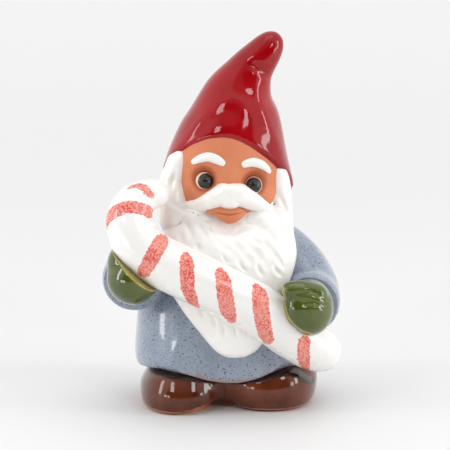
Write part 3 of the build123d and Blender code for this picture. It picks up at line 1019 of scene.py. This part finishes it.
def makeMittens():
    right = mittenShape["right"]
    bm = bmesh.new()
    for centre, radii in right["balls"]:
        addBall(bm, centre, radii, detail=4)
    piece = startPiece("rightMitten", bm, 0.5, 20)
    clampAbove(piece, *right["palm"])
    press(piece, None, 3)
    drawStrokes(piece, right["strokes"])
    points, _ = readSkin(piece)
    spot, normal = right["palm"]
    toPalm = (np.array(spot) - points) @ np.array(Vector(normal).normalized())
    storeBend(piece, 6, 1.0, moreCrest=pinch(np.abs(toPalm) / right["paleEdge"]))
    finishPiece(piece, greenGlaze, ["right_mitten"])
    left = mittenShape["left"]
    bm = bmesh.new()
    for centre, radii in left["balls"]:
        addBall(bm, centre, radii, detail=4)
    addRoll(bm, left["thumb"], 16)
    piece = startPiece("leftMitten", bm, 0.5, 20)
    drawStrokes(piece, left["strokes"])
    points, _ = readSkin(piece)
    gap, _ = nearPath(frontView(points), left["paleLine"])
    storeBend(piece, 6, 1.0, moreCrest=pinch(gap / left["paleEdge"]))
    finishPiece(piece, greenGlaze, ["left_mitten"])


makeMittens()

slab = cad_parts["foot_slab"]
for index in range(len(slab.material_slots)):
    slab.material_slots[index].material = faceClay


# floor, light and camera

studio = {
    "lens": 250.0, "framing": 0.180, "aimHeight": 0.0705, "aimSide": 0.0012,
    "floorPaintedShadow": colour(231, 231, 231), "floorFar": colour(252, 252, 252), "floorShadowFade": (0.15, 1.2),
    "paper": (1.0, 1.0, 1.0, 1.0),
    "roomDark": (0.03, 0.03, 0.03, 1.0),
    "ceiling": (0.35, 0.35, 0.35, 1.0),
    "paperEdge": (-0.66, -0.50), "ceilingEdge": (0.48, 0.62),
    "softboxes": [  # name, place, width, height, power
        ("leftBox", (-0.80, -0.20, 0.30), 0.14, 0.50, 1.5),
        ("rightBox", (0.80, -0.20, 0.30), 0.14, 0.50, 1.8),
        ("leftFront", (-0.50, -0.75, 0.60), 0.20, 0.20, 1.0),
        ("rightFront", (0.50, -0.75, 0.60), 0.20, 0.20, 1.1),
        ("windowLeft", (-0.72, -0.52, 0.06), 0.13, 0.12, 0.35),
        ("windowRight", (-0.60, -0.65, 0.06), 0.13, 0.12, 0.35),
        ("farWindow", (0.78, -0.44, 0.12), 0.16, 0.16, 0.5),
        ("topBox", (0.0, -0.10, 1.0), 0.6, 0.5, 1.0),
    ],
}


def makeStudio():
    bm = bmesh.new()
    bmesh.ops.create_grid(bm, x_segments=1, y_segments=1, size=1.6)
    mesh = bpy.data.meshes.new("floor")
    bm.to_mesh(mesh)
    bm.free()
    floor = newObject("floor", mesh)
    material, tree, shader = nodeKit("paleFloor")
    away = addNode(tree, "ShaderNodeVectorMath", {"operation": "LENGTH"}, {0: objectPoint(tree)})
    # painted shadow: the floor is darker within 15 cm of the figure and fades to the plain far tone by
    # 1.2 m
    far = ramp(tree, away.outputs["Value"], *studio["floorShadowFade"])
    tone = mixColour(tree, far, studio["floorPaintedShadow"], studio["floorFar"])
    tree.links.new(tone, shader.inputs["Base Color"])
    shader.inputs["Roughness"].default_value = 0.6
    floor.data.materials.append(material)

    # white paper behind, beside and above the figure, a dark room in front of it
    world = bpy.data.worlds.new("studioAir")
    bpy.context.scene.world = world
    world.use_nodes = True
    tree = world.node_tree
    background = tree.nodes["Background"]
    direction = addNode(tree, "ShaderNodeTexCoord").outputs["Generated"]
    split = addNode(tree, "ShaderNodeSeparateXYZ", None, {0: direction})
    beside = ramp(tree, split.outputs["Y"], *studio["paperEdge"])
    ceiling = ramp(tree, split.outputs["Z"], *studio["ceilingEdge"])
    room = mixColour(tree, ceiling, studio["roomDark"], studio["ceiling"])
    tree.links.new(mixColour(tree, beside, room, studio["paper"]), background.inputs["Color"])
    background.inputs["Strength"].default_value = 1.0

    for name, place, width, height, power in studio["softboxes"]:
        light = bpy.data.lights.new(name, "AREA")
        light.shape = "RECTANGLE"
        light.size = width
        light.size_y = height
        light.energy = power
        holder = bpy.data.objects.new(name, light)
        clayCollection.objects.link(holder)
        holder.location = place
        toFigure = Vector((0, 0, 0.07)) - Vector(place)
        holder.rotation_euler = toFigure.to_track_quat("-Z", "Y").to_euler()

    camera = bpy.data.cameras.new("camera")
    camera.lens = studio["lens"]
    camera.sensor_width = 36.0
    camera.clip_end = 20.0
    holder = bpy.data.objects.new("camera", camera)
    clayCollection.objects.link(holder)
    distance = studio["framing"] * studio["lens"] / 36.0
    aim = Vector((studio["aimSide"], 0.0, studio["aimHeight"]))
    holder.location = aim + Vector((0.0, -math.cos(viewRise), math.sin(viewRise))) * distance
    holder.rotation_euler = (aim - holder.location).to_track_quat("-Z", "Y").to_euler()
    bpy.context.scene.camera = holder
    bpy.context.scene.view_settings.view_transform = "Standard"


makeStudio()
print("studio lit")
